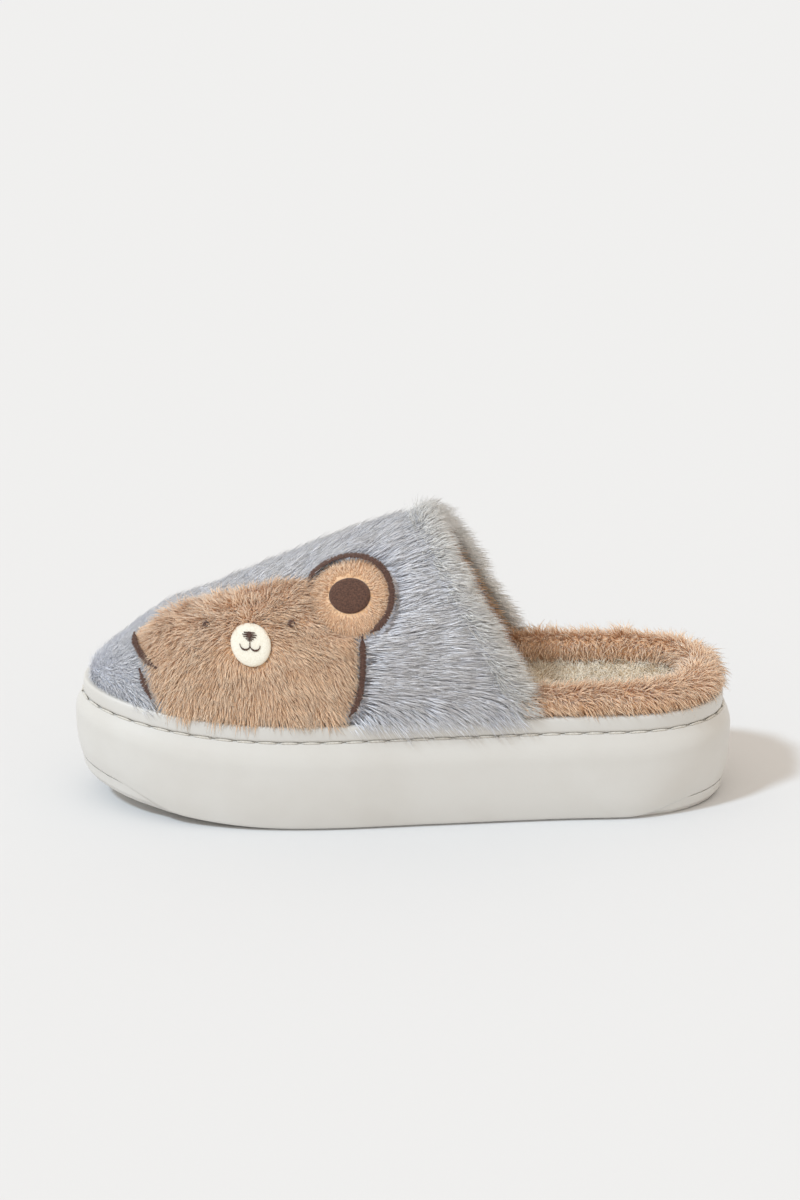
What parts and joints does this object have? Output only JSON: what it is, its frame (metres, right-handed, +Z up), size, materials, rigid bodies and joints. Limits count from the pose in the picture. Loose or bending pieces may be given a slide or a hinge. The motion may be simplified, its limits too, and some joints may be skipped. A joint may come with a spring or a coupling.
{
  "type": "house slipper",
  "caption": "Closed-toe, open-back house slipper: thick moulded platform sole, long-pile fur upper with a teddy patch, plush heel collar and plush footbed.",
  "frame": {"origin": "on the floor, in the middle of the slipper's box", "axes": "+X from the toe to the heel, -Y to the lateral side, which carries the teddy, +Z up"},
  "size_m": [0.265, 0.0956, 0.1178],
  "materials": {
    "sole_rubber": "fine matt skin, warm white",
    "sole_foam": "moulded foam with a satin skin, warm white",
    "rim_rubber": "satin, warm white",
    "cream_plush": "short curled plush, cream",
    "blue_grey_fur": "long soft pile, pale blue grey",
    "pale_fur": "long soft pile, pale grey",
    "tan_plush": "short plush pile, tan",
    "brown_felt": "felt, dark brown",
    "cream_felt": "felt, cream"
  },
  "bodies": {
    "root": {"outsole": "sole_rubber", "midsole": "sole_foam", "rim_strip": "rim_rubber", "insole": "cream_plush", "upper": "blue_grey_fur", "topline_binding": "pale_fur", "heel_collar": "tan_plush", "teddy_head": "tan_plush", "teddy_near_ear": "tan_plush", "teddy_far_ear": "tan_plush", "teddy_inner_ear": "brown_felt", "teddy_muzzle": "cream_felt"}
  },
  "joints": []
}
